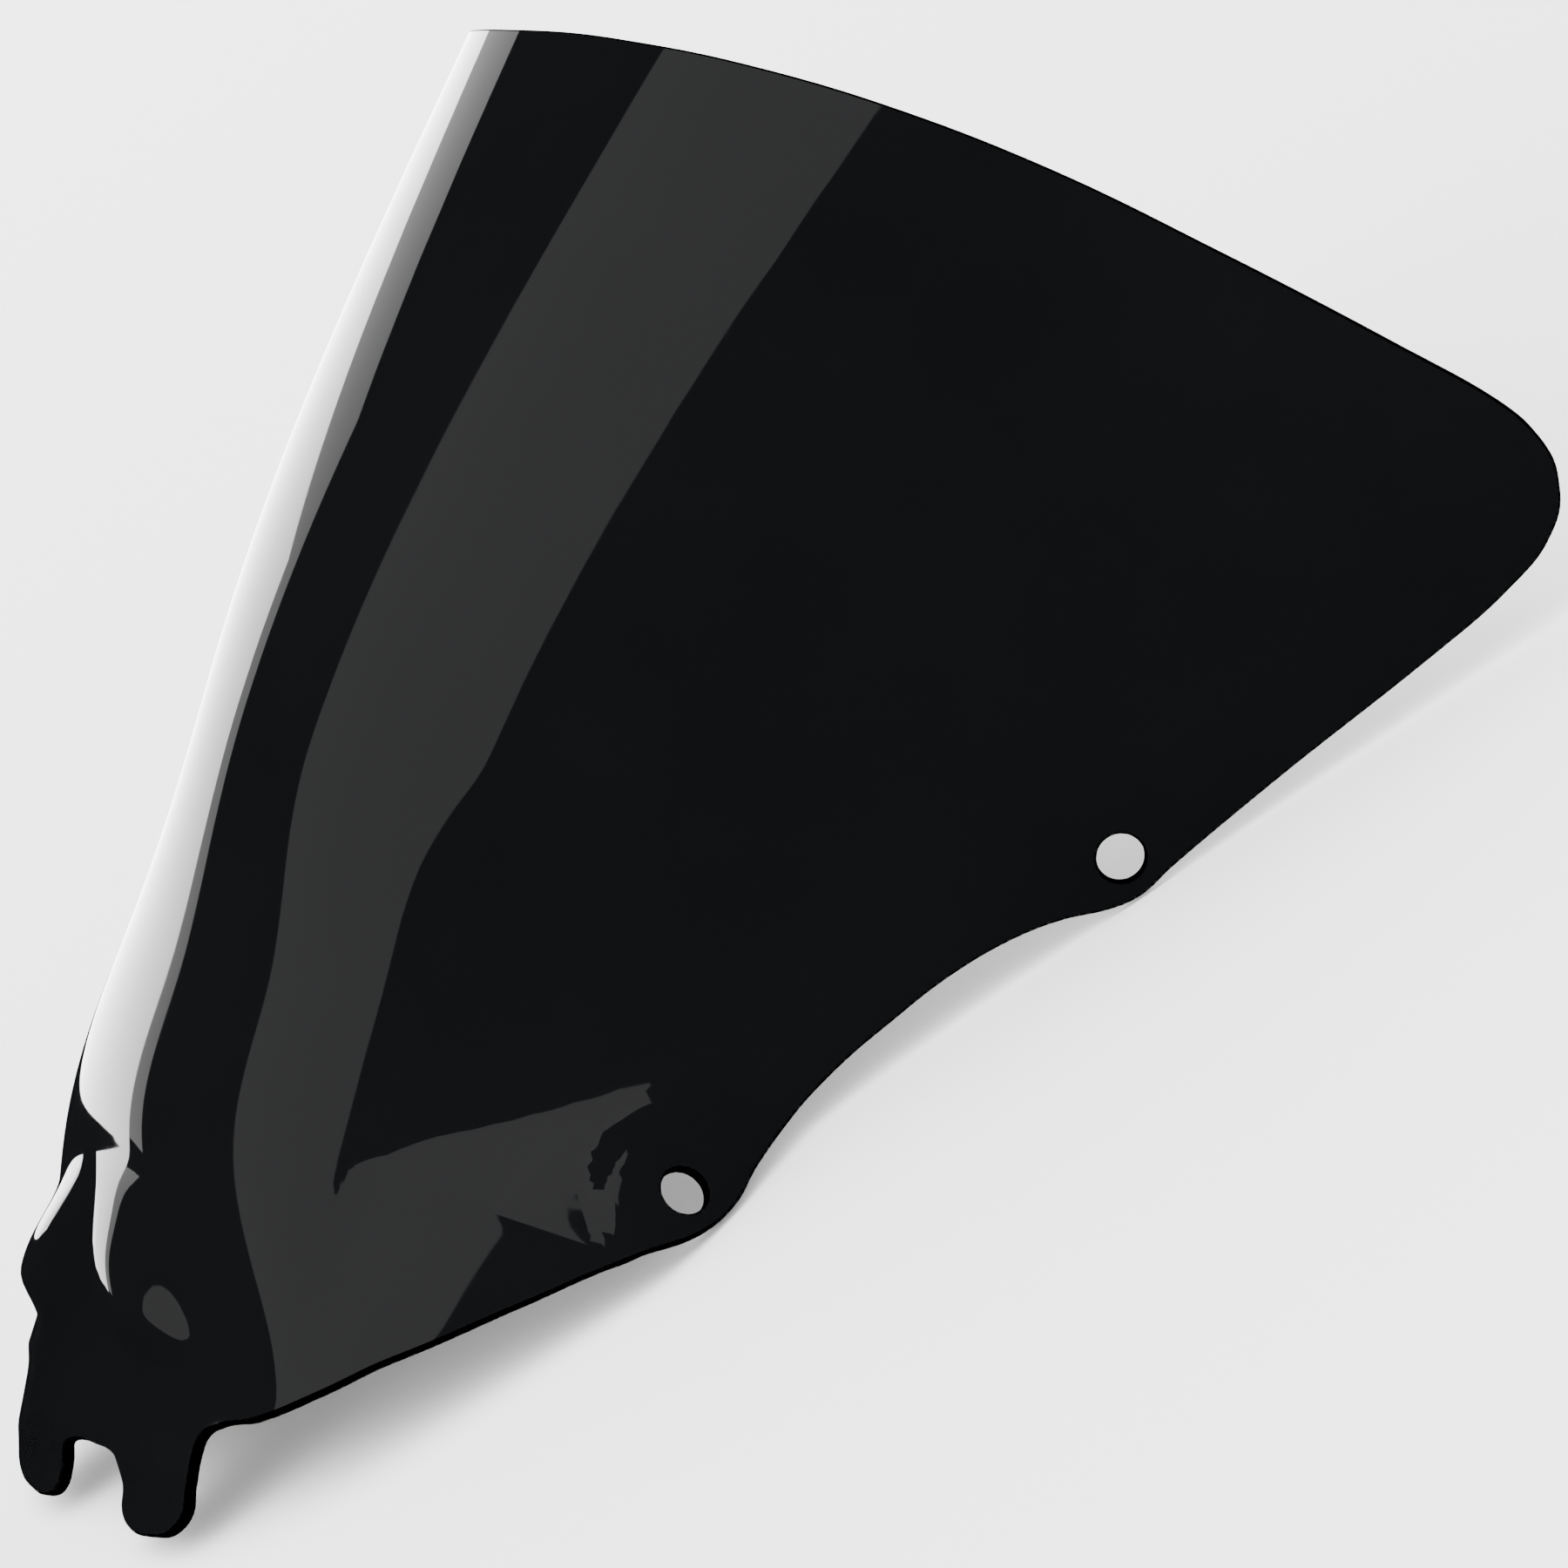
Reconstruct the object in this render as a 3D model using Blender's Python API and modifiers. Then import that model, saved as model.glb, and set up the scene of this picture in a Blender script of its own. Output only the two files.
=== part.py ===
"""Motorcycle windshield screen: one moulded sheet with a forked nose and four fastener holes.

Blender 4.5 script. Metres, +Z up. The nose points along -Y, the rider sits towards +Y, and
X = 0 is the plane of symmetry. The screen rests on its four fastener lobes, and the middle of
the bottom of its box is the origin.

The form is described in its own frame, in millimetres: a station runs up the crest from the
front holes to the trailing edge, a depth is measured square to the crest, and an arch angle
runs from the crest (0) down the flank.
"""
import math

import bmesh
import bpy
import numpy as np
from mathutils import Vector
from mathutils.geometry import delaunay_2d_cdt, interpolate_bezier

MM = 0.001

# Sheet and holes
THICKNESS = 3.0
HOLE_DIAMETER = 11.0
SEAT_RADIUS = 13.0
SEAT_BLEND = 24.0
FRONT_HOLE = (-16.5, 101.2)
REAR_HOLE = (88.5, 167.0)

# Attitude: the angle of the crest line above the ground
SPINE_PITCH = math.radians(31.7)

# Arch sections, square to the crest
STATIONS = (-135, -95, -50, 0, 90, 215)
HALF_WIDTHS = (76, 98, 104, 112, 140.5, 197)
ARCH_HEIGHTS = (7, 32.5, 150, 224, 290, 405)
CREST_STATIONS = (-135, -95, -50, 0, 70, 140, 215)
CREST_DEPTHS = (37, 26, 5.2, 0, -5.4, -5.5, 0)

# Below this station the arch turns blunter than an ellipse, fully so after the run
BLUNT_FROM = 60.0
BLUNT_RUN = 95.0
BLUNT_NOSE = 0.35

# Two ridges that part below the crest and die out on the flat tongue
RIDGE_STATIONS = (-50, -74, -84, -100, -135)
RIDGE_OFFSETS = (1, 22, 31, 38, 42)
RIDGE_START = -48.0
RIDGE_RUN = 41.0
RIDGE_HEIGHT = 11.0
RIDGE_SHOULDER = 37.0
JOGGLE_START = -83.0
JOGGLE_RUN = 14.0
RIB_HEIGHT = 3.0
RIB_END = -116.0
RIB_FADE = 8.0

# Lower front flange, which turns outwards below a valley line
FLANGE_SLOPE = 0.46
FLANGE_VALLEY_DEPTH = 37.0
FLANGE_VALLEY_STATION = -40.0
FLANGE_VALLEY_RISE = 1.03
FLANGE_END_DEPTH = 90.0
FLANGE_SOFTNESS = 9.0

# Half outline. The first run is (station, distance from the middle), the others are
# (station, depth).
NOSE_OUTLINE = (
    (-116.0, 0.0), (-116.2, 10.0), (-118.0, 19.0), (-122.0, 22.5), (-128.3, 24.8), (-131.2, 32.5),
    (-131.0, 45.0), (-128.2, 57.0), (-124.0, 62.5), (-118.0, 64.2), (-110.5, 64.2), (-105.3, 66.0),
    (-102.3, 71.5),
)
FLANK_OUTLINE = (
    (-97.4, 37.1), (-90.4, 42.6), (-75.3, 54.9), (-53.7, 75.0), (-39.2, 88.3), (-32.3, 95.6),
    (-25.7, 104.8), (-21.3, 109.4), (-15.1, 113.6), (-5.3, 117.1), (11.1, 124.6), (24.0, 130.2),
    (35.5, 136.2), (51.0, 144.7), (64.0, 154.3), (71.0, 161.6), (76.5, 169.4), (81.0, 174.0),
    (90.5, 178.2), (118.0, 191.0), (158.5, 211.0), (174.0, 217.5), (188.0, 220.6), (199.5, 217.4),
    (208.0, 208.3), (212.0, 197.0), (215.7, 171.3), (221.0, 130.5), (225.6, 92.0), (227.2, 60.0),
    (226.5, 33.0), (224.2, 12.0),
)
TOP_MIDDLE_STATION = 221.5
OUTLINE_STEPS = 4
END_HANDLE = 0.4

# Net of the sheet
COARSE_STEP = 11.0
NOSE_STEP = 5.0
NOSE_END = -40.0
CREST_ANGLE_STEP = 2.5
CREST_ANGLE = 25.0
FLANK_ANGLE_STEP = 5.0
FLANK_ANGLE = 80.0
RADIAN_OF_HALF_WIDTH = 1.1
RIM_CLEARANCE = 1.8
NOTCH_CLEARANCE = 2.0
TRAILING_CLEARANCE = 4.0
SEAT_RINGS = (8.0, 12.5)
SEAT_RING_POINTS = 12
SEAT_RING_CLEARANCE = 4.0
SEAT_RIM_CLEARANCE = 1.08
HOLE_SIDES = 40
DRILL_LENGTH = 18.0

# Steps for measuring slopes, in millimetres of station and radians of arch angle
SMALL_STEP = 0.01
SMALL_TURN = 0.0001
STEEPEST_ANGLE = math.radians(89.0)
HALVINGS = 40

# Polished smoke acrylic
SMOKE = (0.006, 0.0062, 0.0068, 1.0)
POLISH_ROUGHNESS = 0.06
ACRYLIC_IOR = 1.49
SHARP_ANGLE = math.radians(35.0)


def natural_spline(stations, values):
    """A curve through the values with no sudden change of bend."""
    x = np.array(stations, float)
    y = np.array(values, float)
    if x[0] > x[-1]:
        x, y = x[::-1], y[::-1]
    h = np.diff(x)
    system = np.eye(len(x))
    right = np.zeros(len(x))
    for i in range(1, len(x) - 1):
        system[i, i - 1:i + 2] = h[i - 1], 2.0 * (h[i - 1] + h[i]), h[i]
        right[i] = 6.0 * ((y[i + 1] - y[i]) / h[i] - (y[i] - y[i - 1]) / h[i - 1])
    bend = np.linalg.solve(system, right)

    def value(q):
        q = np.asarray(q, float)
        i = np.clip(np.searchsorted(x, q) - 1, 0, len(h) - 1)
        a = q - x[i]
        b = x[i + 1] - q
        cubic = (bend[i] * b ** 3 + bend[i + 1] * a ** 3) / (6.0 * h[i])
        left = (y[i] / h[i] - bend[i] * h[i] / 6.0) * b
        return cubic + left + (y[i + 1] / h[i] - bend[i + 1] * h[i] / 6.0) * a

    return value


half_width = natural_spline(STATIONS, HALF_WIDTHS)
arch_height = natural_spline(STATIONS, ARCH_HEIGHTS)
crest_depth = natural_spline(CREST_STATIONS, CREST_DEPTHS)
ridge_offset = natural_spline(RIDGE_STATIONS, RIDGE_OFFSETS)


def ease(t):
    """0 to 1 with no kink at either end."""
    t = np.clip(t, 0.0, 1.0)
    return t ** 3 * (10.0 + t * (6.0 * t - 15.0))


def ramp(v, softness):
    """0 below zero, then a soft start into a straight climb."""
    v = np.maximum(v, 0.0)
    return v ** 3 / (v * v + softness * softness)


def ridge_height(station):
    """Height of the two ridges, which step down at the joggle and fade out on the tongue."""
    height = RIDGE_HEIGHT * ease((RIDGE_START - station) / RIDGE_RUN)
    height = height + (RIB_HEIGHT - height) * ease((JOGGLE_START - station) / JOGGLE_RUN)
    return height * (1.0 - ease((RIB_END - station) / RIB_FADE))


def ridge_shape(station, x):
    """1 on the ridge's crest, falling to 0 in the middle and down its outer shoulder."""
    offset = np.maximum(ridge_offset(np.minimum(station, RIDGE_STATIONS[0])), RIDGE_OFFSETS[0])
    across = np.abs(x)
    outer = 1.0 - ease((across - offset) / RIDGE_SHOULDER)
    return np.where(across < offset, ease(across / offset), outer)


def flange_reach(station, depth):
    """How far the lower front flange stands outside the arch."""
    valley = FLANGE_VALLEY_DEPTH
    valley = valley + FLANGE_VALLEY_RISE * ramp(station - FLANGE_VALLEY_STATION, FLANGE_SOFTNESS)
    held = depth - ramp(depth - FLANGE_END_DEPTH, FLANGE_SOFTNESS)
    return FLANGE_SLOPE * ramp(held - valley, FLANGE_SOFTNESS)


def arch(station, angle):
    """Distance from the middle and depth of the outer face, before the seats are flattened."""
    blunt = BLUNT_NOSE * ease((BLUNT_FROM - station) / BLUNT_RUN)
    x = half_width(station) * np.sin(angle) * (1.0 + blunt * np.cos(angle) ** 2)
    depth = crest_depth(station) + arch_height(station) * (1.0 - np.cos(angle))
    x = x + np.sign(angle) * flange_reach(station, depth)
    return x, depth - ridge_height(station) * ridge_shape(station, x)


def place(station, x, depth):
    """A point of the form's own frame as metres in the world's attitude."""
    y = station * math.cos(SPINE_PITCH) + depth * math.sin(SPINE_PITCH)
    z = station * math.sin(SPINE_PITCH) - depth * math.cos(SPINE_PITCH)
    return np.stack([x, y, z], -1) * MM


def arch_point(station, angle):
    x, depth = arch(station, angle)
    return place(station + 0.0 * x, x, depth)


def arch_normal(station, angle):
    """Outward unit normal of the arch."""
    along = arch_point(station + SMALL_STEP, angle) - arch_point(station - SMALL_STEP, angle)
    around = arch_point(station, angle + SMALL_TURN) - arch_point(station, angle - SMALL_TURN)
    normal = np.cross(around, along)
    return normal / np.linalg.norm(normal, axis=-1, keepdims=True)


def angle_at(station, wanted, measure):
    """Arch angle at which the chosen measure (0 distance from the middle, 1 depth) is reached."""
    low = 0.0
    high = STEEPEST_ANGLE
    for _ in range(HALVINGS):
        middle = 0.5 * (low + high)
        if arch(station, middle)[measure] < wanted:
            low = middle
        else:
            high = middle
    return 0.5 * (low + high)


def seat(hole):
    """Centre, axis and net position of a fastener hole."""
    station, depth = hole
    angle = angle_at(station, depth, 1)
    return arch_point(station, angle), arch_normal(station, angle), (station, angle)


SEATS = tuple(seat(hole) for hole in (FRONT_HOLE, REAR_HOLE))


def outer_point(station, angle):
    """A point of the outer face, flat round each hole."""
    point = arch_point(station, angle)
    for centre, normal, _ in SEATS:
        offset = point - centre
        reach = np.linalg.norm(offset, axis=-1, keepdims=True) / MM
        weight = 1.0 - ease((reach - SEAT_RADIUS) / (SEAT_BLEND - SEAT_RADIUS))
        height = np.sum(offset * normal, axis=-1, keepdims=True)
        point = point - weight * height * normal
    return point


def net_scale(station):
    """Millimetres of sheet for one radian of arch angle, so that the net is near true size."""
    return RADIAN_OF_HALF_WIDTH * half_width(station)


def outline_knots():
    """Half outline on the net, from the notch round to the middle of the trailing edge."""
    knots = [(s, angle_at(s, x, 0) if x else 0.0) for s, x in NOSE_OUTLINE]
    knots += [(s, angle_at(s, depth, 1)) for s, depth in FLANK_OUTLINE]
    knots.append((TOP_MIDDLE_STATION, 0.0))
    return knots


def bezier_outline():
    """The half outline as a Bezier curve, square to the middle at both ends."""
    knots = outline_knots()
    curve = bpy.data.curves.new("half_outline", "CURVE")
    curve.dimensions = "2D"
    spline = curve.splines.new("BEZIER")
    spline.bezier_points.add(len(knots) - 1)
    for point, (station, angle) in zip(spline.bezier_points, knots):
        point.co = (station, math.degrees(angle), 0.0)
        point.handle_left_type = "AUTO"
        point.handle_right_type = "AUTO"
    guide = bpy.data.objects.new("half_outline", curve)
    bpy.context.scene.collection.objects.link(guide)
    bpy.context.view_layer.update()
    first = spline.bezier_points[0]
    last = spline.bezier_points[-1]
    for end, neighbour in ((first, spline.bezier_points[1]), (last, spline.bezier_points[-2])):
        end.handle_left_type = "FREE"
        end.handle_right_type = "FREE"
        level = Vector((end.co.x, END_HANDLE * neighbour.co.y, 0.0))
        end.handle_left = level
        end.handle_right = level
    outline = []
    for a, b in zip(spline.bezier_points, spline.bezier_points[1:]):
        piece = interpolate_bezier(a.co, a.handle_right, b.handle_left, b.co, OUTLINE_STEPS + 1)
        outline += [(p.x, math.radians(max(p.y, 0.0))) for p in piece[:-1]]
    outline.append((last.co.x, 0.0))
    bpy.data.objects.remove(guide)
    bpy.data.curves.remove(curve)
    return outline


def grid_lines():
    """Stations and arch angles of the sheet's net."""
    nose = np.arange(NOSE_OUTLINE[0][0] + NOSE_STEP, NOSE_END, NOSE_STEP)
    prong = np.arange(NOSE_OUTLINE[0][0], min(s for s, _ in NOSE_OUTLINE), -NOSE_STEP)
    body = np.arange(nose[-1] + 0.7 * COARSE_STEP, FLANK_OUTLINE[-1][0], COARSE_STEP)
    crest = np.arange(0.0, CREST_ANGLE, CREST_ANGLE_STEP)
    flank = np.arange(CREST_ANGLE, FLANK_ANGLE, FLANK_ANGLE_STEP)
    return np.concatenate([prong, nose, body]), np.radians(np.concatenate([crest, flank]))


def net_slopes(station, angle, normal):
    """Sheet travel, along and across it in metres, for a small change of station or angle."""
    here = arch_point(station, angle)
    along = (arch_point(station + SMALL_STEP, angle) - here) / (SMALL_STEP * MM)
    around = (arch_point(station, angle + SMALL_TURN) - here) / (SMALL_TURN * MM)
    tangent = along / np.linalg.norm(along)
    cross = np.cross(normal, tangent)
    return np.array([[along @ tangent, around @ tangent], [along @ cross, around @ cross]])


def seat_rings():
    """Net points on rings round each hole, so that the flat seats have their own faces."""
    points = []
    for _, normal, (station, angle) in SEATS:
        slopes = net_slopes(station, angle, normal)
        for radius in SEAT_RINGS:
            for k in range(SEAT_RING_POINTS):
                t = 2.0 * math.pi * k / SEAT_RING_POINTS
                ring = np.array([radius * math.cos(t), radius * math.sin(t)])
                step = np.linalg.solve(slopes, ring)
                points.append((station + step[0], angle + step[1]))
        points.append((station, angle))
    return points


def flat_net(station, angle):
    """Net coordinates in millimetres, for spacing and triangulation."""
    return station, angle * float(net_scale(station))


def clear_of(loop, point, clearance):
    """True where the point keeps the clearance from every point and side of the loop."""
    a = loop[:-1]
    side = loop[1:] - a
    share = np.clip(np.sum((point - a) * side, 1) / np.maximum(np.sum(side * side, 1), 1e-9), 0, 1)
    return np.min(np.linalg.norm(a + side * share[:, None] - point, axis=1)) > clearance


def rim_loop(stations):
    """The half outline, closed down the middle of the sheet."""
    outline = bezier_outline()
    low = outline[0][0] + NOTCH_CLEARANCE
    high = outline[-1][0] - TRAILING_CLEARANCE
    middle = [(s, 0.0) for s in sorted(stations, reverse=True) if low < s < high]
    return outline + middle


def inner_points(stations, angles, rings, edge):
    """Net points inside the rim and clear of the rings round the holes."""
    ring_net = np.array([flat_net(*p) for p in rings])
    points = []
    for station in stations:
        for angle in angles:
            point = np.array(flat_net(station, angle))
            near = np.min(np.linalg.norm(ring_net - point, axis=1))
            if near > SEAT_RING_CLEARANCE and clear_of(edge, point, RIM_CLEARANCE):
                points.append((station, angle))
    return points


def half_sheet():
    """The outer face of one half: vertices in metres and triangles."""
    stations, angles = grid_lines()
    loop = rim_loop(stations)
    rings = seat_rings()
    edge = np.array([flat_net(*p) for p in loop + loop[:1]])
    kept = [p for p in rings if clear_of(edge, np.array(flat_net(*p)), SEAT_RIM_CLEARANCE)]
    net = loop + inner_points(stations, angles[1:], rings, edge) + kept
    count = len(loop)
    sides = [(i, (i + 1) % count) for i in range(count)]
    points = [Vector(flat_net(*p)) for p in net]
    found = delaunay_2d_cdt(points, sides, [], 1, 1e-6)
    where = np.array([net[group[0]] for group in found[3]])
    vertices = outer_point(where[:, 0], where[:, 1])
    vertices[where[:, 1] == 0.0, 0] = 0.0
    return vertices, found[2]


def sheet_mesh():
    """One half of the outer face as an open mesh, with its faces pointing outwards."""
    vertices, faces = half_sheet()
    mesh = bpy.data.meshes.new("screen_shell")
    mesh.from_pydata([tuple(v) for v in vertices], [], [tuple(f) for f in faces])
    form = bmesh.new()
    form.from_mesh(mesh)
    bmesh.ops.recalc_face_normals(form, faces=form.faces)
    total = Vector()
    for face in form.faces:
        total += face.normal * face.calc_area()
    if total.z < 0.0:
        bmesh.ops.reverse_faces(form, faces=form.faces)
    form.to_mesh(mesh)
    form.free()
    return mesh


def smoke_acrylic():
    material = bpy.data.materials.new("smoke_acrylic")
    material.use_nodes = True
    shader = material.node_tree.nodes["Principled BSDF"]
    shader.inputs["Base Color"].default_value = SMOKE
    shader.inputs["Roughness"].default_value = POLISH_ROUGHNESS
    shader.inputs["Metallic"].default_value = 0.0
    shader.inputs["IOR"].default_value = ACRYLIC_IOR
    return material


def hole_cutters(collection):
    """A cylinder through the sheet at each of the four holes."""
    cutters = []
    for label, (centre, normal, _) in zip(("front", "rear"), SEATS):
        for side, mirror in (("left", 1.0), ("right", -1.0)):
            bpy.ops.mesh.primitive_cylinder_add(
                vertices=HOLE_SIDES, radius=0.5 * HOLE_DIAMETER * MM, depth=DRILL_LENGTH * MM
            )
            cutter = bpy.context.object
            cutter.name = f"{label}_{side}_drill"
            cutter.location = (mirror * centre[0], centre[1], centre[2])
            axis = Vector((mirror * normal[0], normal[1], normal[2]))
            cutter.rotation_euler = axis.to_track_quat("Z", "Y").to_euler()
            cutter.hide_render = True
            cutter.display_type = "WIRE"
            for owner in cutter.users_collection:
                owner.objects.unlink(cutter)
            collection.objects.link(cutter)
            cutters.append(cutter)
    return cutters


def finished_mesh(shell):
    """The shell's mesh with its modifiers applied."""
    bpy.context.view_layer.update()
    graph = bpy.context.evaluated_depsgraph_get()
    return bpy.data.meshes.new_from_object(shell.evaluated_get(graph))


def settle(objects, shell):
    """Moves everything so that the middle of the bottom of the shell's box is the origin."""
    mesh = finished_mesh(shell)
    points = np.array([v.co for v in mesh.vertices])
    bpy.data.meshes.remove(mesh)
    low, high = points.min(0), points.max(0)
    shift = Vector((0.0, -0.5 * (low[1] + high[1]), -low[2]))
    for item in objects:
        item.location = item.location + shift
    bpy.context.view_layer.update()


def main():
    for item in list(bpy.data.objects):
        bpy.data.objects.remove(item)
    parts = bpy.data.collections.new("windshield_screen")
    tools = bpy.data.collections.new("cutters")
    bpy.context.scene.collection.children.link(parts)
    bpy.context.scene.collection.children.link(tools)

    shell = bpy.data.objects.new("screen_shell", sheet_mesh())
    parts.objects.link(shell)
    shell.data.materials.append(smoke_acrylic())

    mirror = shell.modifiers.new("other_half", "MIRROR")
    mirror.use_axis = (True, False, False)
    mirror.use_clip = True
    mirror.merge_threshold = 0.0001
    wall = shell.modifiers.new("wall", "SOLIDIFY")
    wall.thickness = THICKNESS * MM
    wall.offset = -1.0
    wall.use_even_offset = True
    cutters = hole_cutters(tools)
    for cutter in cutters:
        drill = shell.modifiers.new(cutter.name, "BOOLEAN")
        drill.operation = "DIFFERENCE"
        drill.solver = "EXACT"
        drill.object = cutter
    shell.data.shade_smooth()
    shell.data.set_sharp_from_angle(angle=SHARP_ANGLE)
    settle([shell] + cutters, shell)


main()
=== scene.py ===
"""Motorcycle windshield screen: the fine surface, its material, the studio and the camera."""
import math

import bpy
import numpy as np
from mathutils import Matrix, Vector
from mathutils.geometry import delaunay_2d_cdt, interpolate_bezier


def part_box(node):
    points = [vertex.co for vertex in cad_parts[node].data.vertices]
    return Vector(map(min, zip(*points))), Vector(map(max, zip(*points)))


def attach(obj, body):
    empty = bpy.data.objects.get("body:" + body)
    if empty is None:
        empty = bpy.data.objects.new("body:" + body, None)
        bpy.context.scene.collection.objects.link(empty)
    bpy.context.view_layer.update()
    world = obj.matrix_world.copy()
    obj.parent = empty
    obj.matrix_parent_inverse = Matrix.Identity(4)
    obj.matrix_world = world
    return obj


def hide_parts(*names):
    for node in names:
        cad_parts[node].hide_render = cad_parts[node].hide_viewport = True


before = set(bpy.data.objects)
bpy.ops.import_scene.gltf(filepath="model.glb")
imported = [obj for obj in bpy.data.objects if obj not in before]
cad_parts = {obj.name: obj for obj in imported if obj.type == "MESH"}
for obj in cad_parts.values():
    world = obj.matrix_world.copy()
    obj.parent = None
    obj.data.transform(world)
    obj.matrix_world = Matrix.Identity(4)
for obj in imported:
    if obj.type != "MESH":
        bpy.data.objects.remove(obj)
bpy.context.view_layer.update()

NODE = "screen_shell"
MM = 0.001

# ---------------------------------------------------------------- form, as in the CAD part
THICKNESS = 3.0
HOLE_DIAMETER = 11.0
SEAT_RADIUS = 13.0
SEAT_BLEND = 24.0
FRONT_HOLE = (-16.5, 101.2)
REAR_HOLE = (88.5, 167.0)
SPINE_PITCH = math.radians(31.7)

STATIONS = (-135, -95, -50, 0, 90, 215)
HALF_WIDTHS = (76, 98, 104, 112, 140.5, 197)
ARCH_HEIGHTS = (7, 32.5, 150, 224, 290, 405)
CREST_STATIONS = (-135, -95, -50, 0, 70, 140, 215)
CREST_DEPTHS = (37, 26, 5.2, 0, -5.4, -5.5, 0)
BLUNT_NOSE = 0.35
BLUNT_FROM = 60.0
BLUNT_RUN = 95.0

RIDGE_STATIONS = (-50, -74, -84, -100, -135)
RIDGE_OFFSETS = (1, 22, 31, 38, 42)
RIDGE_START = -48.0
RIDGE_RUN = 41.0
RIDGE_HEIGHT = 11.0
RIDGE_SHOULDER = 37.0
JOGGLE_START = -83.0
JOGGLE_RUN = 14.0
RIB_HEIGHT = 3.0
RIB_END = -116.0
RIB_FADE = 8.0

FLANGE_SLOPE = 0.46
FLANGE_VALLEY_DEPTH = 37.0
FLANGE_VALLEY_STATION = -40.0
FLANGE_VALLEY_RISE = 1.03
FLANGE_END_DEPTH = 90.0
FLANGE_SOFTNESS = 9.0

NOSE_OUTLINE = (
    (-116.0, 0.0), (-116.2, 10.0), (-118.0, 19.0), (-122.0, 22.5), (-128.3, 24.8), (-131.2, 32.5),
    (-131.0, 45.0), (-128.2, 57.0), (-124.0, 62.5), (-118.0, 64.2), (-110.5, 64.2), (-105.3, 66.0),
    (-102.3, 71.5),
)
FLANK_OUTLINE = (
    (-97.4, 37.1), (-90.4, 42.6), (-75.3, 54.9), (-53.7, 75.0), (-39.2, 88.3), (-32.3, 95.6),
    (-25.7, 104.8), (-21.3, 109.4), (-15.1, 113.6), (-5.3, 117.1), (11.1, 124.6), (24.0, 130.2),
    (35.5, 136.2), (51.0, 144.7), (64.0, 154.3), (71.0, 161.6), (76.5, 169.4), (81.0, 174.0),
    (90.5, 178.2), (118.0, 191.0), (158.5, 211.0), (174.0, 217.5), (188.0, 220.6), (199.5, 217.4),
    (208.0, 208.3), (212.0, 197.0), (215.7, 171.3), (221.0, 130.5), (225.6, 92.0), (227.2, 60.0),
    (226.5, 33.0), (224.2, 12.0),
)
TOP_MIDDLE_STATION = 221.5

# ---------------------------------------------------------------- fine net
EDGE_STEP = 1.6
NET_STEP = 3.2
NOSE_NET_STEP = 2.0
NOSE_NET_END = 20.0
RIM_ROUND = 0.55
RIM_CLEARANCE = 1.5
CORNER_STEPS = 4
WALL_STEPS = 3
HOLE_POINTS = 72
HOLE_RINGS = ((7.2, 60), (9.2, 56), (11.6, 52))     # radius and number of points
CLEAR_RING = (12.2, 48)                             # the grid stays outside this one
CLEAR_REACH = 8.0
ROW_SPACING = 0.87
ARCH_STRETCH = 1.1
NET_HALF_ANGLE = math.radians(80.0)
END_HANDLE = 0.4
CURVE_POINTS = 33
DISTANCE_BLOCK = 2000
HALVINGS = 40
KEEP_INSIDE = 1                                     # the triangulation's output mode
SAME_POINT = 1e-7


def natural_spline(stations, values):
    """A curve through the values with no sudden change of bend."""
    x = np.array(stations, float)
    y = np.array(values, float)
    if x[0] > x[-1]:
        x, y = x[::-1], y[::-1]
    h = np.diff(x)
    system = np.eye(len(x))
    right = np.zeros(len(x))
    for i in range(1, len(x) - 1):
        system[i, i - 1:i + 2] = h[i - 1], 2.0 * (h[i - 1] + h[i]), h[i]
        right[i] = 6.0 * ((y[i + 1] - y[i]) / h[i] - (y[i] - y[i - 1]) / h[i - 1])
    bend = np.linalg.solve(system, right)

    def value(q):
        q = np.asarray(q, float)
        i = np.clip(np.searchsorted(x, q) - 1, 0, len(h) - 1)
        a = q - x[i]
        b = x[i + 1] - q
        cubic = (bend[i] * b ** 3 + bend[i + 1] * a ** 3) / (6.0 * h[i])
        left = (y[i] / h[i] - bend[i] * h[i] / 6.0) * b
        return cubic + left + (y[i + 1] / h[i] - bend[i + 1] * h[i] / 6.0) * a

    return value


half_width = natural_spline(STATIONS, HALF_WIDTHS)
arch_height = natural_spline(STATIONS, ARCH_HEIGHTS)
crest_depth = natural_spline(CREST_STATIONS, CREST_DEPTHS)
ridge_offset = natural_spline(RIDGE_STATIONS, RIDGE_OFFSETS)


def ease(t):
    """0 to 1 with no kink at either end."""
    t = np.clip(t, 0.0, 1.0)
    return t ** 3 * (10.0 + t * (6.0 * t - 15.0))


def ramp(v, softness):
    """0 below zero, then a soft start into a straight climb."""
    v = np.maximum(v, 0.0)
    return v ** 3 / (v * v + softness * softness)


def ridge_height(station):
    """Height of the two ridges, which step down at the joggle and fade out on the tongue."""
    height = RIDGE_HEIGHT * ease((RIDGE_START - station) / RIDGE_RUN)
    height = height + (RIB_HEIGHT - height) * ease((JOGGLE_START - station) / JOGGLE_RUN)
    return height * (1.0 - ease((RIB_END - station) / RIB_FADE))


def ridge_shape(station, x):
    """1 on the ridge's crest, falling to 0 in the middle and down its outer shoulder."""
    offset = np.maximum(ridge_offset(np.minimum(station, RIDGE_STATIONS[0])), RIDGE_OFFSETS[0])
    across = np.abs(x)
    outer = 1.0 - ease((across - offset) / RIDGE_SHOULDER)
    return np.where(across < offset, ease(across / offset), outer)


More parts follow.
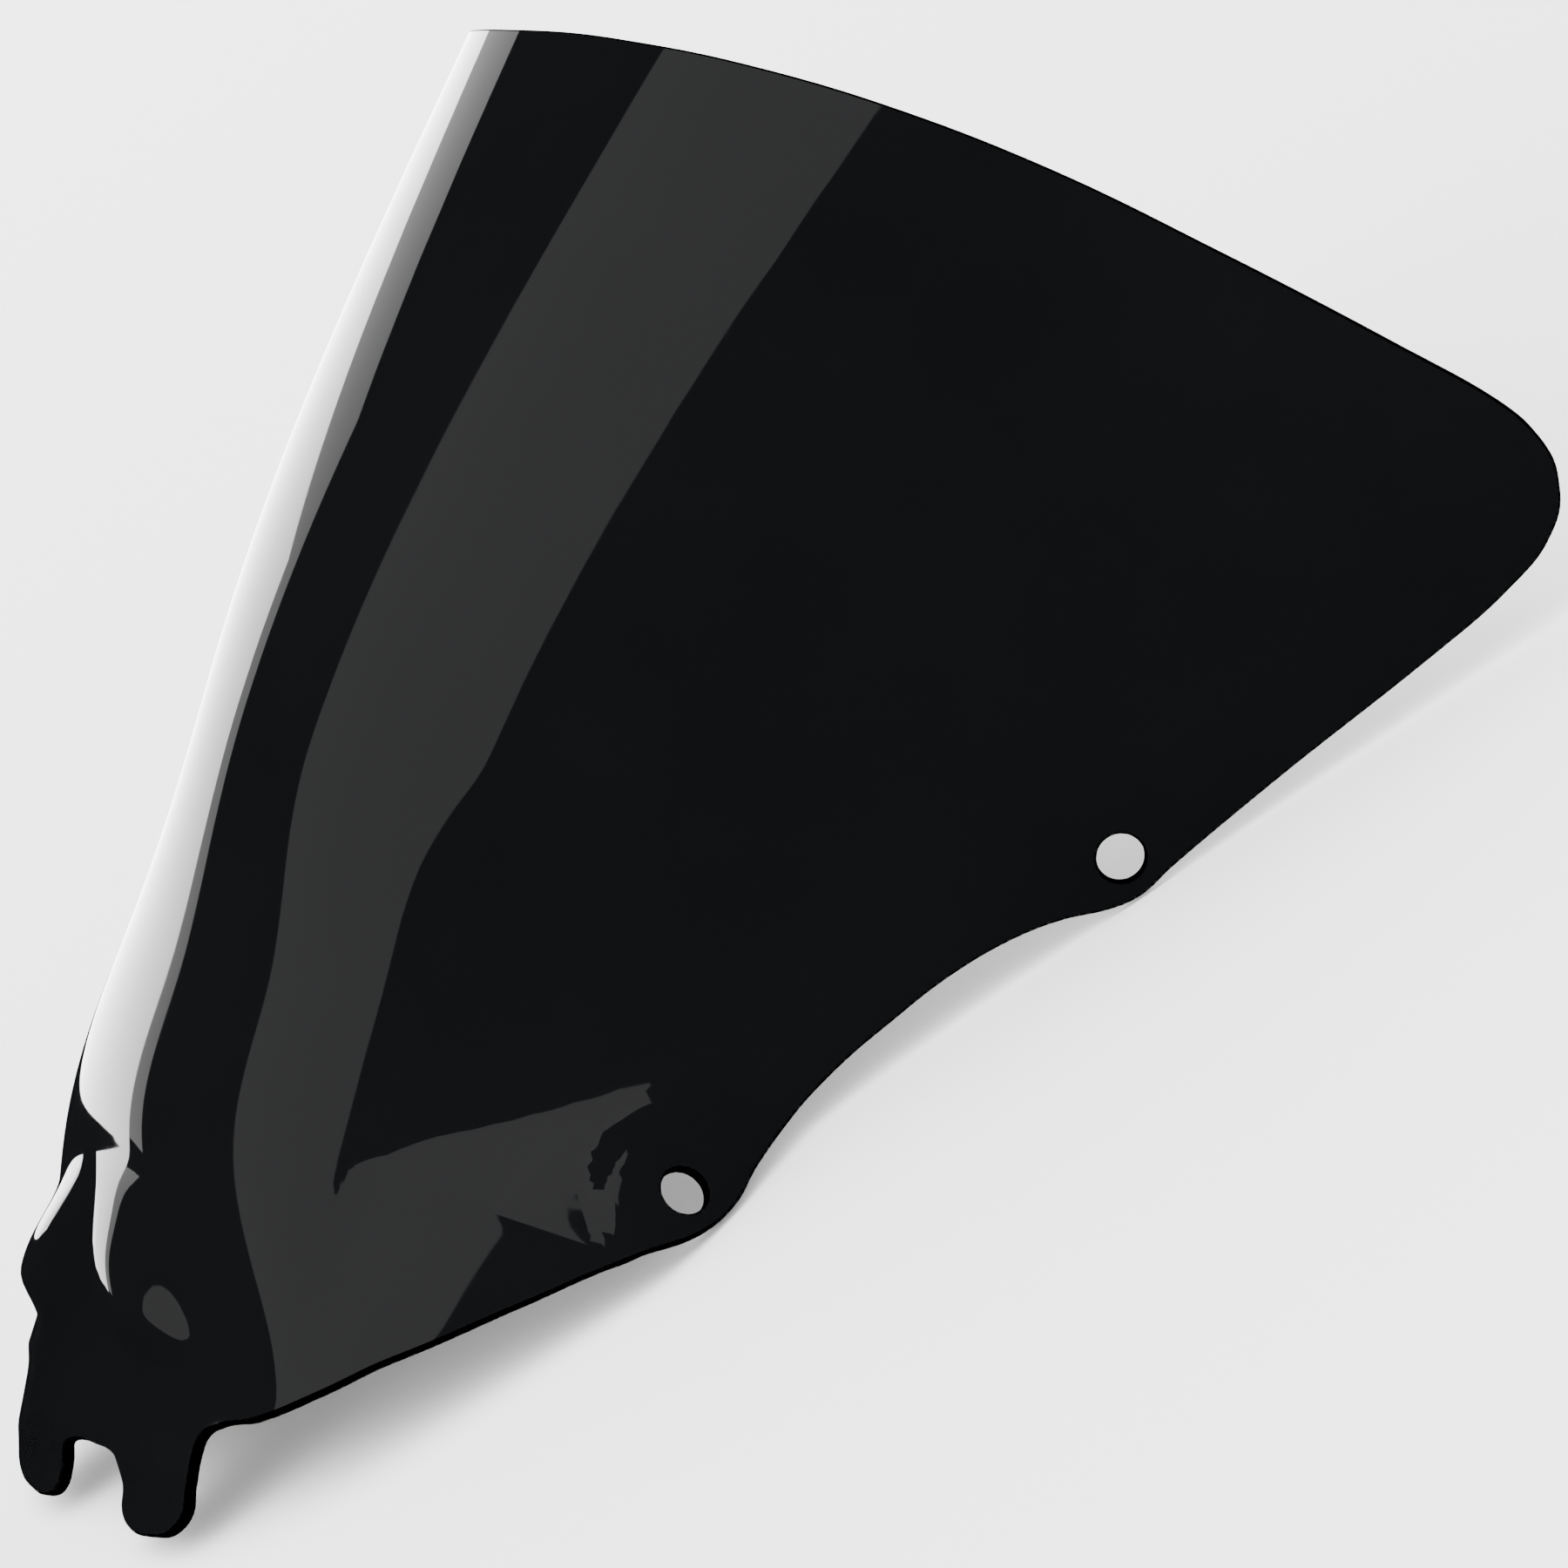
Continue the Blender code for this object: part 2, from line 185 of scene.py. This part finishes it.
def flange_reach(station, depth):
    """How far the lower front flange stands outside the arch."""
    valley = FLANGE_VALLEY_DEPTH
    valley = valley + FLANGE_VALLEY_RISE * ramp(station - FLANGE_VALLEY_STATION, FLANGE_SOFTNESS)
    held = depth - ramp(depth - FLANGE_END_DEPTH, FLANGE_SOFTNESS)
    return FLANGE_SLOPE * ramp(held - valley, FLANGE_SOFTNESS)


def arch(station, angle):
    """Distance from the middle and depth of the outer face, before the seats are flattened."""
    blunt = BLUNT_NOSE * ease((BLUNT_FROM - station) / BLUNT_RUN)
    x = half_width(station) * np.sin(angle) * (1.0 + blunt * np.cos(angle) ** 2)
    depth = crest_depth(station) + arch_height(station) * (1.0 - np.cos(angle))
    x = x + np.sign(angle) * flange_reach(station, depth)
    return x, depth - ridge_height(station) * ridge_shape(station, x)


def place(station, x, depth):
    """A point of the form's own frame as metres in the world's attitude."""
    y = station * math.cos(SPINE_PITCH) + depth * math.sin(SPINE_PITCH)
    z = station * math.sin(SPINE_PITCH) - depth * math.cos(SPINE_PITCH)
    return np.stack([x, y, z], -1) * MM


def arch_point(station, angle):
    """A point of the outer face before the seats are flattened."""
    x, depth = arch(station, angle)
    return place(station + 0.0 * x, x, depth)


def normal_of(surface, station, angle):
    """Outward unit normal of a surface of the net, from small steps of station and angle."""
    small = 0.05
    turn = 0.0005
    along = surface(station + small, angle) - surface(station - small, angle)
    around = surface(station, angle + turn) - surface(station, angle - turn)
    normal = np.cross(around, along)
    return normal / np.linalg.norm(normal, axis=-1, keepdims=True)


def angle_at(station, wanted, measure):
    """Arch angle at which the chosen measure (0 distance from the middle, 1 depth) is reached."""
    low = 0.0
    high = math.radians(89.0)
    for _ in range(HALVINGS):
        middle = 0.5 * (low + high)
        if arch(station, middle)[measure] < wanted:
            low = middle
        else:
            high = middle
    return 0.5 * (low + high)


def seat(hole):
    """Centre, axis and net position of a fastener hole."""
    station, depth = hole
    angle = angle_at(station, depth, 1)
    return arch_point(station, angle), normal_of(arch_point, station, angle), (station, angle)


SEATS = tuple(seat(hole) for hole in (FRONT_HOLE, REAR_HOLE))


def outer_point(station, angle):
    """A point of the outer face, flat round each of the four holes."""
    point = arch_point(station, angle)
    for centre, normal, _ in SEATS:
        for side in (1.0, -1.0):
            middle = centre * (side, 1.0, 1.0)
            axis = normal * (side, 1.0, 1.0)
            offset = point - middle
            reach = np.linalg.norm(offset, axis=-1, keepdims=True) / MM
            weight = 1.0 - ease((reach - SEAT_RADIUS) / (SEAT_BLEND - SEAT_RADIUS))
            height = np.sum(offset * axis, axis=-1, keepdims=True)
            point = point - weight * height * axis
    return point


# ---------------------------------------------------------------- outline
def outline_knots():
    """Station and arch angle of the half outline's knots, from the nose to the trailing edge."""
    knots = [(s, angle_at(s, x, 0) if x else 0.0) for s, x in NOSE_OUTLINE]
    knots += [(s, angle_at(s, depth, 1)) for s, depth in FLANK_OUTLINE]
    knots.append((TOP_MIDDLE_STATION, 0.0))
    return knots


def smooth_outline(knots):
    """Fine net points along a Bezier curve through the knots, level across the middle."""
    curve = bpy.data.curves.new("half_outline", "CURVE")
    curve.dimensions = "2D"
    spline = curve.splines.new("BEZIER")
    spline.bezier_points.add(len(knots) - 1)
    for point, (station, angle) in zip(spline.bezier_points, knots):
        point.co = (station, math.degrees(angle), 0.0)
        point.handle_left_type = "AUTO"
        point.handle_right_type = "AUTO"
    guide = bpy.data.objects.new("half_outline", curve)
    bpy.context.scene.collection.objects.link(guide)
    bpy.context.view_layer.update()
    first = spline.bezier_points[0]
    last = spline.bezier_points[-1]
    for end, neighbour in ((first, spline.bezier_points[1]), (last, spline.bezier_points[-2])):
        end.handle_left_type = "FREE"
        end.handle_right_type = "FREE"
        level = Vector((end.co.x, END_HANDLE * neighbour.co.y, 0.0))
        end.handle_left = level
        end.handle_right = level
    fine = []
    for a, b in zip(spline.bezier_points, spline.bezier_points[1:]):
        piece = interpolate_bezier(a.co, a.handle_right, b.handle_left, b.co, CURVE_POINTS)
        fine += [(p.x, math.radians(max(p.y, 0.0))) for p in piece[:-1]]
    fine.append((last.co.x, 0.0))
    bpy.data.objects.remove(guide)
    bpy.data.curves.remove(curve)
    return np.array(fine)


def half_outline():
    """The half outline as net points evenly spaced along the real edge."""
    fine = smooth_outline(outline_knots())
    solid = arch_point(fine[:, 0], fine[:, 1])
    run = np.concatenate([[0.0], np.cumsum(np.linalg.norm(np.diff(solid, axis=0), axis=1))]) / MM
    count = int(round(run[-1] / EDGE_STEP))
    even = np.linspace(0.0, run[-1], count + 1)
    return np.stack([np.interp(even, run, fine[:, 0]), np.interp(even, run, fine[:, 1])], 1)


def full_outline():
    """The closed outline: one half, then its mirror image."""
    half = half_outline()
    other = half[1:-1][::-1] * (1.0, -1.0)
    return np.concatenate([half, other])


# ---------------------------------------------------------------- net points
def flat_net(points):
    """Net coordinates in millimetres, near true size."""
    points = np.atleast_2d(points)
    return np.stack([points[:, 0], points[:, 1] * ARCH_STRETCH * half_width(points[:, 0])], 1)


def ring_points(centre, normal, where, radius, count, side):
    """A circle on a seat: its points in space and about where they lie on the net."""
    station, angle = where
    small = 0.01        # steps of station in mm and of angle in radians, for the slopes
    turn = 0.0001
    here = arch_point(station, angle)
    along = (arch_point(station + small, angle) - here) / (small * MM)
    around = (arch_point(station, angle + turn) - here) / (turn * MM)
    tangent = along - normal * (along @ normal)
    tangent = tangent / np.linalg.norm(tangent)
    cross = np.cross(normal, tangent)
    slopes = np.array([[along @ tangent, around @ tangent], [along @ cross, around @ cross]])
    t = np.arange(count) * 2.0 * math.pi / count
    ring = radius * np.stack([np.cos(t), np.sin(t)], 1)
    steps = np.linalg.solve(slopes, ring.T).T
    solid = centre + MM * (ring[:, :1] * tangent + ring[:, 1:] * cross)
    net = np.stack([station + steps[:, 0], angle + steps[:, 1]], 1)
    return solid * (side, 1.0, 1.0), net * (1.0, side)


def distance_to_loop(loop, points):
    """Distance from each point to a closed loop, all on the net in millimetres."""
    side = np.roll(loop, -1, axis=0) - loop
    length = np.maximum(np.sum(side * side, 1), 1e-9)
    best = np.full(len(points), 1e9)
    for start in range(0, len(points), DISTANCE_BLOCK):
        block = points[start:start + DISTANCE_BLOCK]
        offset = block[:, None, :] - loop[None]
        share = np.clip(np.sum(offset * side[None], 2) / length[None], 0.0, 1.0)
        gap = np.linalg.norm(offset - share[..., None] * side[None], axis=2)
        best[start:start + DISTANCE_BLOCK] = gap.min(1)
    return best


def inside_loop(loop, points):
    """True for each point inside the closed loop."""
    x, y = points[:, 0], points[:, 1]
    inside = np.zeros(len(points), bool)
    following = np.roll(loop, -1, axis=0)
    for (x0, y0), (x1, y1) in zip(loop, following):
        crosses = (y0 > y) != (y1 > y)
        if y0 != y1:
            inside ^= crosses & (x < (x1 - x0) * (y - y0) / (y1 - y0) + x0)
    return inside


def grid_rows(low, high):
    """Staggered rows of points over the whole net, closer together on the nose."""
    points = []
    station = low + 0.5 * NOSE_NET_STEP
    row = 0
    while station < high:
        step = NOSE_NET_STEP if station < NOSE_NET_END else NET_STEP
        width = ARCH_STRETCH * float(half_width(station)) * NET_HALF_ANGLE
        count = int(width / step)
        shift = 0.5 * step * (row % 2)
        across = np.arange(-count, count + 1) * step + shift
        points.append(np.stack([np.full(len(across), station), across], 1))
        station += ROW_SPACING * step
        row += 1
    return np.concatenate(points)


def grid(loop, hole_nets):
    """Evenly spread points of the sheet, clear of its edge and its holes."""
    points = grid_rows(loop[:, 0].min(), loop[:, 0].max())
    points = points[inside_loop(loop, points)]
    points = points[distance_to_loop(loop, points) > RIM_CLEARANCE]
    for net in hole_nets:
        centre = net.mean(0)
        reach = np.linalg.norm(net - centre, axis=1).max()
        near = np.linalg.norm(points - centre, axis=1) < reach + CLEAR_REACH
        keep = np.ones(len(points), bool)
        keep[near] = ~inside_loop(net, points[near])
        gap = distance_to_loop(net, points[near])
        keep[np.flatnonzero(near)[gap < RIM_CLEARANCE]] = False
        points = points[keep]
    angle = points[:, 1] / (ARCH_STRETCH * half_width(points[:, 0]))
    return np.stack([points[:, 0], angle], 1)


def hole_edges(first):
    """The four hole edges: points in space, net points and loops of indices from first."""
    solids, nets, loops = [], [], []
    for centre, normal, where in SEATS:
        for side in (1.0, -1.0):
            solid, ring = ring_points(centre, normal, where, 0.5 * HOLE_DIAMETER, HOLE_POINTS, side)
            loops.append(np.arange(first, first + len(ring)))
            solids.append(solid)
            nets.append(ring)
            first += len(ring)
    return np.concatenate(solids), nets, loops


def seat_rings():
    """The rings of net points round the holes, and the wider loops that the grid keeps out of."""
    rings = []
    clear = []
    for centre, normal, where in SEATS:
        for side in (1.0, -1.0):
            for radius, count in HOLE_RINGS:
                _, ring = ring_points(centre, normal, where, radius, count, side)
                rings.append(ring)
            _, outer = ring_points(centre, normal, where, *CLEAR_RING, side)
            clear.append(flat_net(outer))
    return np.concatenate(rings), clear


def triangulate(net, loops):
    """Triangles over the net with the loops kept as edges; points may be put in a new order."""
    sides = []
    for loop in loops:
        sides += list(zip(loop.tolist(), np.roll(loop, -1).tolist()))
    found = delaunay_2d_cdt([Vector(p) for p in flat_net(net)], sides, [], KEEP_INSIDE, SAME_POINT)
    order = [group[0] for group in found[3]]
    new_place = np.full(len(net), -1)
    new_place[order] = np.arange(len(order))
    return net[order], [new_place[loop] for loop in loops], np.array(found[2])


def without_holes(faces, hole_loops, count):
    """The faces without those whose corners all lie on one hole's edge."""
    hole_of = np.full(count, -1)
    for k, loop in enumerate(hole_loops):
        hole_of[loop] = k
    marks = hole_of[faces]
    in_hole = (marks[:, 0] >= 0) & (marks[:, 0] == marks[:, 1]) & (marks[:, 1] == marks[:, 2])
    return faces[~in_hole]


def facing_out(faces, points, normals):
    """The faces with their corners in the order that turns them outwards."""
    first = points[faces[:, 0]]
    cross = np.cross(points[faces[:, 1]] - first, points[faces[:, 2]] - first)
    flipped = np.sum(cross * normals[faces[:, 0]], 1) < 0.0
    faces[flipped] = faces[flipped][:, ::-1]
    return faces


def sheet_net():
    """Positions on the outer face, their normals, triangles and the five edge loops."""
    outline = full_outline()
    rim = flat_net(outline)
    hole_solids, hole_nets, hole_loops = hole_edges(len(outline))
    rings, clear = seat_rings()
    flat = flat_net(rings)
    good = inside_loop(rim, flat) & (distance_to_loop(rim, flat) > RIM_CLEARANCE)
    net = np.concatenate([outline, *hole_nets, rings[good], grid(rim, clear)])
    net, loops, faces = triangulate(net, [np.arange(len(outline)), *hole_loops])
    faces = without_holes(faces, loops[1:], len(net))
    points = outer_point(net[:, 0], net[:, 1])
    points[np.concatenate(loops[1:])] = hole_solids
    normals = normal_of(outer_point, net[:, 0], net[:, 1])
    return points, normals, facing_out(faces, points, normals), loops


def edge_frame(points, normals, loop):
    """Outward direction off the sheet, square to the edge, at each point of a loop."""
    here = points[loop]
    along = np.roll(here, -1, axis=0) - np.roll(here, 1, axis=0)
    along = along / np.linalg.norm(along, axis=1, keepdims=True)
    off = np.cross(along, normals[loop])
    return off / np.linalg.norm(off, axis=1, keepdims=True)


def rim_profile():
    """Steps round an edge, below its first: turns of the rounded corners and depths of the wall."""
    span = THICKNESS - 2.0 * RIM_ROUND
    steps = []
    for k in range(1, CORNER_STEPS + 1):
        steps.append(("upper", 0.5 * math.pi * k / CORNER_STEPS))
    for k in range(1, WALL_STEPS + 1):
        steps.append(("wall", RIM_ROUND + span * k / WALL_STEPS))
    for k in range(1, CORNER_STEPS):
        steps.append(("lower", 0.5 * math.pi * k / CORNER_STEPS))
    return steps


def rim_ring(kind, amount, top, normal, off):
    """One ring of an edge: its points and the directions they face."""
    if kind == "wall":
        return top - MM * normal * amount, off
    if kind == "upper":
        lean = normal * math.cos(amount) + off * math.sin(amount)
        return top + RIM_ROUND * MM * (lean - off - normal), lean
    lean = off * math.cos(amount) - normal * math.sin(amount)
    return top - THICKNESS * MM * normal + RIM_ROUND * MM * (lean - off + normal), lean


def rim_faces(rows, flip):
    """The quads between following rows of a closed edge."""
    quads = []
    for upper, lower in zip(rows, rows[1:]):
        corners = (upper, np.roll(upper, -1), np.roll(lower, -1), lower)
        for quad in zip(*(corner.tolist() for corner in corners)):
            quads.append(quad if flip else quad[::-1])
    return quads


def outward_frames(points, normals, loops):
    """For each edge, the direction off the sheet: out of the outline and into the holes."""
    frames = []
    for k, loop in enumerate(loops):
        off = edge_frame(points, normals, loop)
        centre = points.mean(0) if k == 0 else points[loop].mean(0)
        points_away = np.mean(np.sum((points[loop] - centre) * off, 1)) >= 0.0
        frames.append(off if points_away == (k == 0) else -off)
    return frames


def shell_mesh():
    """The closed sheet: outer face, inner face and rounded edges, with its true normals."""
    points, normals, faces, loops = sheet_net()
    frames = outward_frames(points, normals, loops)
    outer = points.copy()
    inner = points - THICKNESS * MM * normals
    for loop, off in zip(loops, frames):
        outer[loop] = points[loop] - RIM_ROUND * MM * off
        inner[loop] = inner[loop] - RIM_ROUND * MM * off
    count = len(points)
    vertices = [outer, inner]
    directions = [normals, -normals]
    polygons = [tuple(f) for f in faces.tolist()]
    polygons += [(a + count, c + count, b + count) for a, b, c in faces.tolist()]
    rim_from = len(polygons)
    total = 2 * count
    for loop, off in zip(loops, frames):
        top = points[loop]
        normal = normals[loop]
        rows = [loop]
        for kind, amount in rim_profile():
            ring, lean = rim_ring(kind, amount, top, normal, off)
            vertices.append(ring)
            directions.append(lean)
            rows.append(np.arange(total, total + len(loop)))
            total += len(loop)
        rows.append(loop + count)
        flip = np.cross(top[1] - top[0], -normal[0]) @ off[0] < 0.0
        polygons += rim_faces(rows, flip)
    return np.concatenate(vertices), np.concatenate(directions), polygons, rim_from


def cad_shift(vertices):
    """The move that puts the fine sheet onto the CAD node."""
    low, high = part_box(NODE)
    low, high = np.array(low), np.array(high)
    middle = 0.5 * (vertices.min(0) + vertices.max(0))
    shift = 0.5 * (low + high) - middle
    shift[0] = 0.0
    return shift


def make_shell():
    """The screen in the CAD node's place, and the shift that put it there."""
    vertices, directions, polygons, rim_from = shell_mesh()
    shift = cad_shift(vertices)
    vertices = vertices + shift
    mesh = bpy.data.meshes.new("smoke_screen")
    mesh.from_pydata(vertices.tolist(), [], polygons)
    mesh.update()
    mesh.shade_smooth()
    mesh.normals_split_custom_set_from_vertices(directions.tolist())
    rims = np.zeros(len(polygons), np.int32)
    rims[rim_from:] = 1
    mesh.polygons.foreach_set("material_index", rims)
    shell = bpy.data.objects.new("smoke_screen", mesh)
    bpy.context.scene.collection.objects.link(shell)
    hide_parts(NODE)
    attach(shell, "root")
    return shell, shift


# ---------------------------------------------------------------- materials
ACRYLIC_IOR = 1.49


def tree_of(name):
    """A new material with its nodes, links and main shader."""
    material = bpy.data.materials.new(name)
    material.use_nodes = True
    nodes = material.node_tree.nodes
    links = material.node_tree.links
    return material, nodes, links, nodes["Principled BSDF"]


def noise(nodes, links, source, scale, detail):
    """A noise value over the source coordinates."""
    texture = nodes.new("ShaderNodeTexNoise")
    texture.inputs["Scale"].default_value = scale
    texture.inputs["Detail"].default_value = detail
    links.new(source, texture.inputs["Vector"])
    return texture.outputs["Fac"]


def spread(nodes, links, source, taken, given):
    """Maps a range of values onto another, each as its low and high ends."""
    node = nodes.new("ShaderNodeMapRange")
    node.inputs["From Min"].default_value = taken[0]
    node.inputs["From Max"].default_value = taken[1]
    node.inputs["To Min"].default_value = given[0]
    node.inputs["To Max"].default_value = given[1]
    links.new(source, node.inputs["Value"])
    return node.outputs["Result"]


def tint(nodes, links, source, shader, dark, light):
    """Colours the shader between two shades by the source value."""
    shades = nodes.new("ShaderNodeValToRGB")
    shades.color_ramp.elements[0].color = dark
    shades.color_ramp.elements[1].color = light
    links.new(source, shades.inputs["Fac"])
    links.new(shades.outputs["Color"], shader.inputs["Base Color"])


def relief(nodes, links, source, shader, strength, height):
    """A fine relief in the shading, height given in metres."""
    bump = nodes.new("ShaderNodeBump")
    bump.inputs["Strength"].default_value = strength
    bump.inputs["Distance"].default_value = height
    links.new(source, bump.inputs["Height"])
    links.new(bump.outputs["Normal"], shader.inputs["Normal"])


def acrylic():
    """Polished smoke acrylic: deep black with faint haze, fine wipe marks and moulding ripple."""
    material, nodes, links, shader = tree_of("smoke_acrylic_polished")
    where = nodes.new("ShaderNodeTexCoord").outputs["Object"]
    haze = noise(nodes, links, where, scale=14.0, detail=4.0)
    marks = noise(nodes, links, where, scale=420.0, detail=3.0)
    rough = spread(nodes, links, haze, taken=(0.35, 0.7), given=(0.018, 0.04))
    fine = spread(nodes, links, marks, taken=(0.45, 0.8), given=(0.0, 0.02))
    add = nodes.new("ShaderNodeMath")
    add.operation = "ADD"
    links.new(rough, add.inputs[0])
    links.new(fine, add.inputs[1])
    links.new(add.outputs[0], shader.inputs["Roughness"])
    tint(nodes, links, haze, shader, (0.0016, 0.0017, 0.0019, 1.0), (0.0026, 0.0027, 0.0030, 1.0))
    ripple = noise(nodes, links, where, scale=22.0, detail=2.0)
    relief(nodes, links, ripple, shader, strength=0.12, height=0.0004)
    shader.inputs["IOR"].default_value = ACRYLIC_IOR
    return material


def cut_edge():
    """The routed edge: the same acrylic, satin and a shade lighter, with fine tool lines."""
    material, nodes, links, shader = tree_of("smoke_acrylic_edge")
    where = nodes.new("ShaderNodeTexCoord").outputs["Object"]
    lines = noise(nodes, links, where, scale=900.0, detail=2.0)
    rough = spread(nodes, links, lines, taken=(0.3, 0.7), given=(0.16, 0.34))
    links.new(rough, shader.inputs["Roughness"])
    tint(nodes, links, lines, shader, (0.030, 0.0302, 0.031, 1.0), (0.070, 0.0705, 0.072, 1.0))
    relief(nodes, links, lines, shader, strength=0.25, height=0.0001)
    shader.inputs["IOR"].default_value = ACRYLIC_IOR
    return material


# ---------------------------------------------------------------- camera
PHOTO_PITCH = math.radians(67.85)
VIEW_AZIMUTH = math.radians(69.04)
VIEW_ELEVATION = math.radians(3.93)
VIEW_DISTANCE = 2.562
FRAME_WIDTH = 0.360
AIM_RIGHT = 0.1457
AIM_ABOVE = 0.032
SENSOR = 36.0


def turned(vector):
    """A direction given with the crest stood as photographed, turned to the part's attitude."""
    turn = SPINE_PITCH - PHOTO_PITCH
    x, y, z = vector
    c, s = math.cos(turn), math.sin(turn)
    return Vector((x, y * c - z * s, y * s + z * c))


def view_axes():
    """The camera's right, up and forward directions."""
    ca, sa = math.cos(VIEW_AZIMUTH), math.sin(VIEW_AZIMUTH)
    ce, se = math.cos(VIEW_ELEVATION), math.sin(VIEW_ELEVATION)
    right = Vector((ca, sa, 0.0))
    forward = Vector((-sa * ce, ca * ce, -se))
    up = right.cross(forward)
    return turned(right), turned(up), turned(forward)


def make_camera(shift):
    """A long lens that fills the frame with the photograph's width of the scene."""
    right, up, forward = view_axes()
    position = AIM_RIGHT * right + AIM_ABOVE * up - VIEW_DISTANCE * forward + Vector(shift)
    data = bpy.data.cameras.new("camera")
    data.sensor_width = SENSOR
    data.sensor_height = SENSOR
    data.lens = SENSOR * VIEW_DISTANCE / FRAME_WIDTH
    data.clip_end = 50.0
    camera = bpy.data.objects.new("camera", data)
    turn = Matrix((right, up, -forward)).transposed()
    camera.matrix_world = Matrix.Translation(position) @ turn.to_4x4()
    bpy.context.scene.collection.objects.link(camera)
    bpy.context.scene.camera = camera


# ---------------------------------------------------------------- studio
CENTRE = Vector((0.0, 0.0, 0.10))
FLOOR_RADIUS = 4.0
FLOOR_LEVEL = -0.0005
LIMB_FACING = -85.0


def direction(azimuth):
    """Unit vector level across the studio, in the attitude of the photograph."""
    a = math.radians(azimuth)
    return turned((math.sin(a), -math.cos(a), 0.0))


def panel(name, facing, sides, rows, radiance, distance=3.0):
    """An upright soft box. sides and rows are the degrees at which its edges stand."""
    left, right = (distance * math.tan(math.radians(edge - facing)) for edge in sides)
    bottom, top = (distance * math.tan(math.radians(edge)) for edge in rows)
    data = bpy.data.lights.new(name, "AREA")
    data.shape = "RECTANGLE"
    data.size = right - left
    data.size_y = top - bottom
    data.energy = radiance * math.pi * data.size * data.size_y
    lamp = bpy.data.objects.new(name, data)
    outwards = direction(facing)
    upright = turned((0.0, 0.0, 1.0))
    across = upright.cross(outwards)
    stand = CENTRE + distance * outwards + 0.5 * (left + right) * across
    stand = stand + 0.5 * (bottom + top) * upright
    facing_matrix = Matrix((across, upright, outwards)).transposed()
    lamp.matrix_world = Matrix.Translation(stand) @ facing_matrix.to_4x4()
    lamp.visible_camera = False
    bpy.context.scene.collection.objects.link(lamp)
    return lamp


def light_only(lamp, thing):
    """Keep a close lamp off the floor, which it would cut with a hard line."""
    lit = bpy.data.collections.new("lit_by_" + lamp.name)
    lit.objects.link(thing)
    lamp.light_linking.receiver_collection = lit


def make_world():
    """Plain white surroundings, dark to mirror reflections so that the panels draw the gloss."""
    world = bpy.data.worlds.new("studio")
    world.use_nodes = True
    nodes, links = world.node_tree.nodes, world.node_tree.links
    nodes.clear()
    out = nodes.new("ShaderNodeOutputWorld")
    pale = nodes.new("ShaderNodeBackground")
    pale.inputs["Color"].default_value = (1.0, 1.0, 1.0, 1.0)
    pale.inputs["Strength"].default_value = 4.4
    dark = nodes.new("ShaderNodeBackground")
    dark.inputs["Color"].default_value = (0.010, 0.0105, 0.012, 1.0)
    mix = nodes.new("ShaderNodeMixShader")
    path = nodes.new("ShaderNodeLightPath")
    links.new(path.outputs["Is Glossy Ray"], mix.inputs["Fac"])
    links.new(pale.outputs[0], mix.inputs[1])
    links.new(dark.outputs[0], mix.inputs[2])
    links.new(mix.outputs[0], out.inputs["Surface"])
    bpy.context.scene.world = world


def make_floor():
    """A pale round floor that fades into the white surroundings."""
    bpy.ops.mesh.primitive_circle_add(
        vertices=128, radius=FLOOR_RADIUS, fill_type="NGON", location=(0, 0, FLOOR_LEVEL)
    )
    floor = bpy.context.object
    floor.name = "floor"
    material, nodes, links, shader = tree_of("pale_floor")
    where = nodes.new("ShaderNodeTexCoord").outputs["Object"]
    length = nodes.new("ShaderNodeVectorMath")
    length.operation = "LENGTH"
    links.new(where, length.inputs[0])
    fade = spread(nodes, links, length.outputs["Value"], taken=(0.35, 1.6), given=(0.0, 1.0))
    shader.inputs["Base Color"].default_value = (0.9, 0.9, 0.9, 1.0)
    shader.inputs["Roughness"].default_value = 0.9
    clear = nodes.new("ShaderNodeBsdfTransparent")
    mix = nodes.new("ShaderNodeMixShader")
    links.new(fade, mix.inputs["Fac"])
    links.new(shader.outputs[0], mix.inputs[1])
    links.new(clear.outputs[0], mix.inputs[2])
    links.new(mix.outputs[0], nodes["Material Output"].inputs["Surface"])
    floor.data.materials.append(material)
    floor.visible_glossy = False


def make_lights():
    """A tall soft box draws the band, a small one the flange and low close ones the limb."""
    panel("band_panel", facing=15.5, sides=(-5.0, 36.0), rows=(-39.0, 77.0), radiance=0.75)
    panel("flange_panel", facing=43.0, sides=(36.0, 50.0), rows=(40.0, 77.0), radiance=0.75)
    limb = (
        ("limb_panel", (-122.0, -48.0), (-6.8, 22.3), 11.0),
        ("limb_soft_panel", (-48.0, -42.5), (-4.5, 22.3), 1.8),
        ("limb_fade_panel", (-122.0, -42.5), (22.3, 32.0), 1.8),
    )
    for name, sides, rows, radiance in limb:
        light_only(panel(name, LIMB_FACING, sides, rows, radiance, distance=1.0), shell)


shell, SHIFT = make_shell()
shell.data.materials.append(acrylic())
shell.data.materials.append(cut_edge())
make_camera(SHIFT)
make_world()
make_floor()
make_lights()
